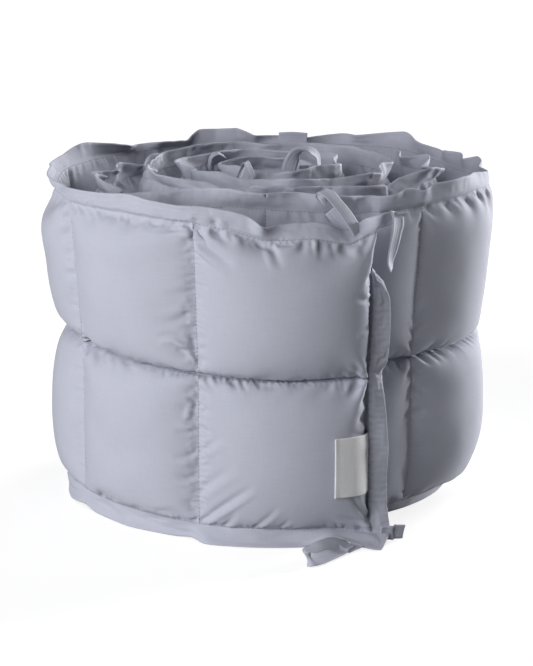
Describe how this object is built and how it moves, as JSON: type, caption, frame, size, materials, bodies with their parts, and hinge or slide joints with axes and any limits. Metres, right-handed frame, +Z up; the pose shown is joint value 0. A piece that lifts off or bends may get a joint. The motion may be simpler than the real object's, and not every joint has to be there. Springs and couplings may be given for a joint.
{
  "type": "rolled crib bumper",
  "caption": "Quilted cotton crib bumper with two rows of filled boxes, a flat flange and cloth ties, rolled up in a spiral and standing on its long edge.",
  "frame": {"origin": "centre of the footprint of the whole rolled bumper, on the floor", "axes": "+Z up along the axis of the roll; -Y is the front, where the loose end of the pad and the label are; +X is right as seen from the front"},
  "size_m": [0.3974, 0.437, 0.3047],
  "materials": {
    "cotton": "fine plain-weave cotton, matt with a faint sheen, softly puckered",
    "tape": "folded and topstitched cotton tape, matt",
    "label_cloth": "off-white woven ribbon, matt, bare"
  },
  "bodies": {
    "root": {"quilted_pad": "cotton", "tie_top_corner_inside": "tape", "tie_top_corner_end": "tape", "tie_top_corner_outside": "tape", "tie_floor_loop": "tape", "tie_floor_end": "tape", "tie_centre_arch": "tape", "tie_centre_point": "tape", "tie_back_curl": "tape", "tie_back_end": "tape", "label": "label_cloth"}
  },
  "joints": []
}
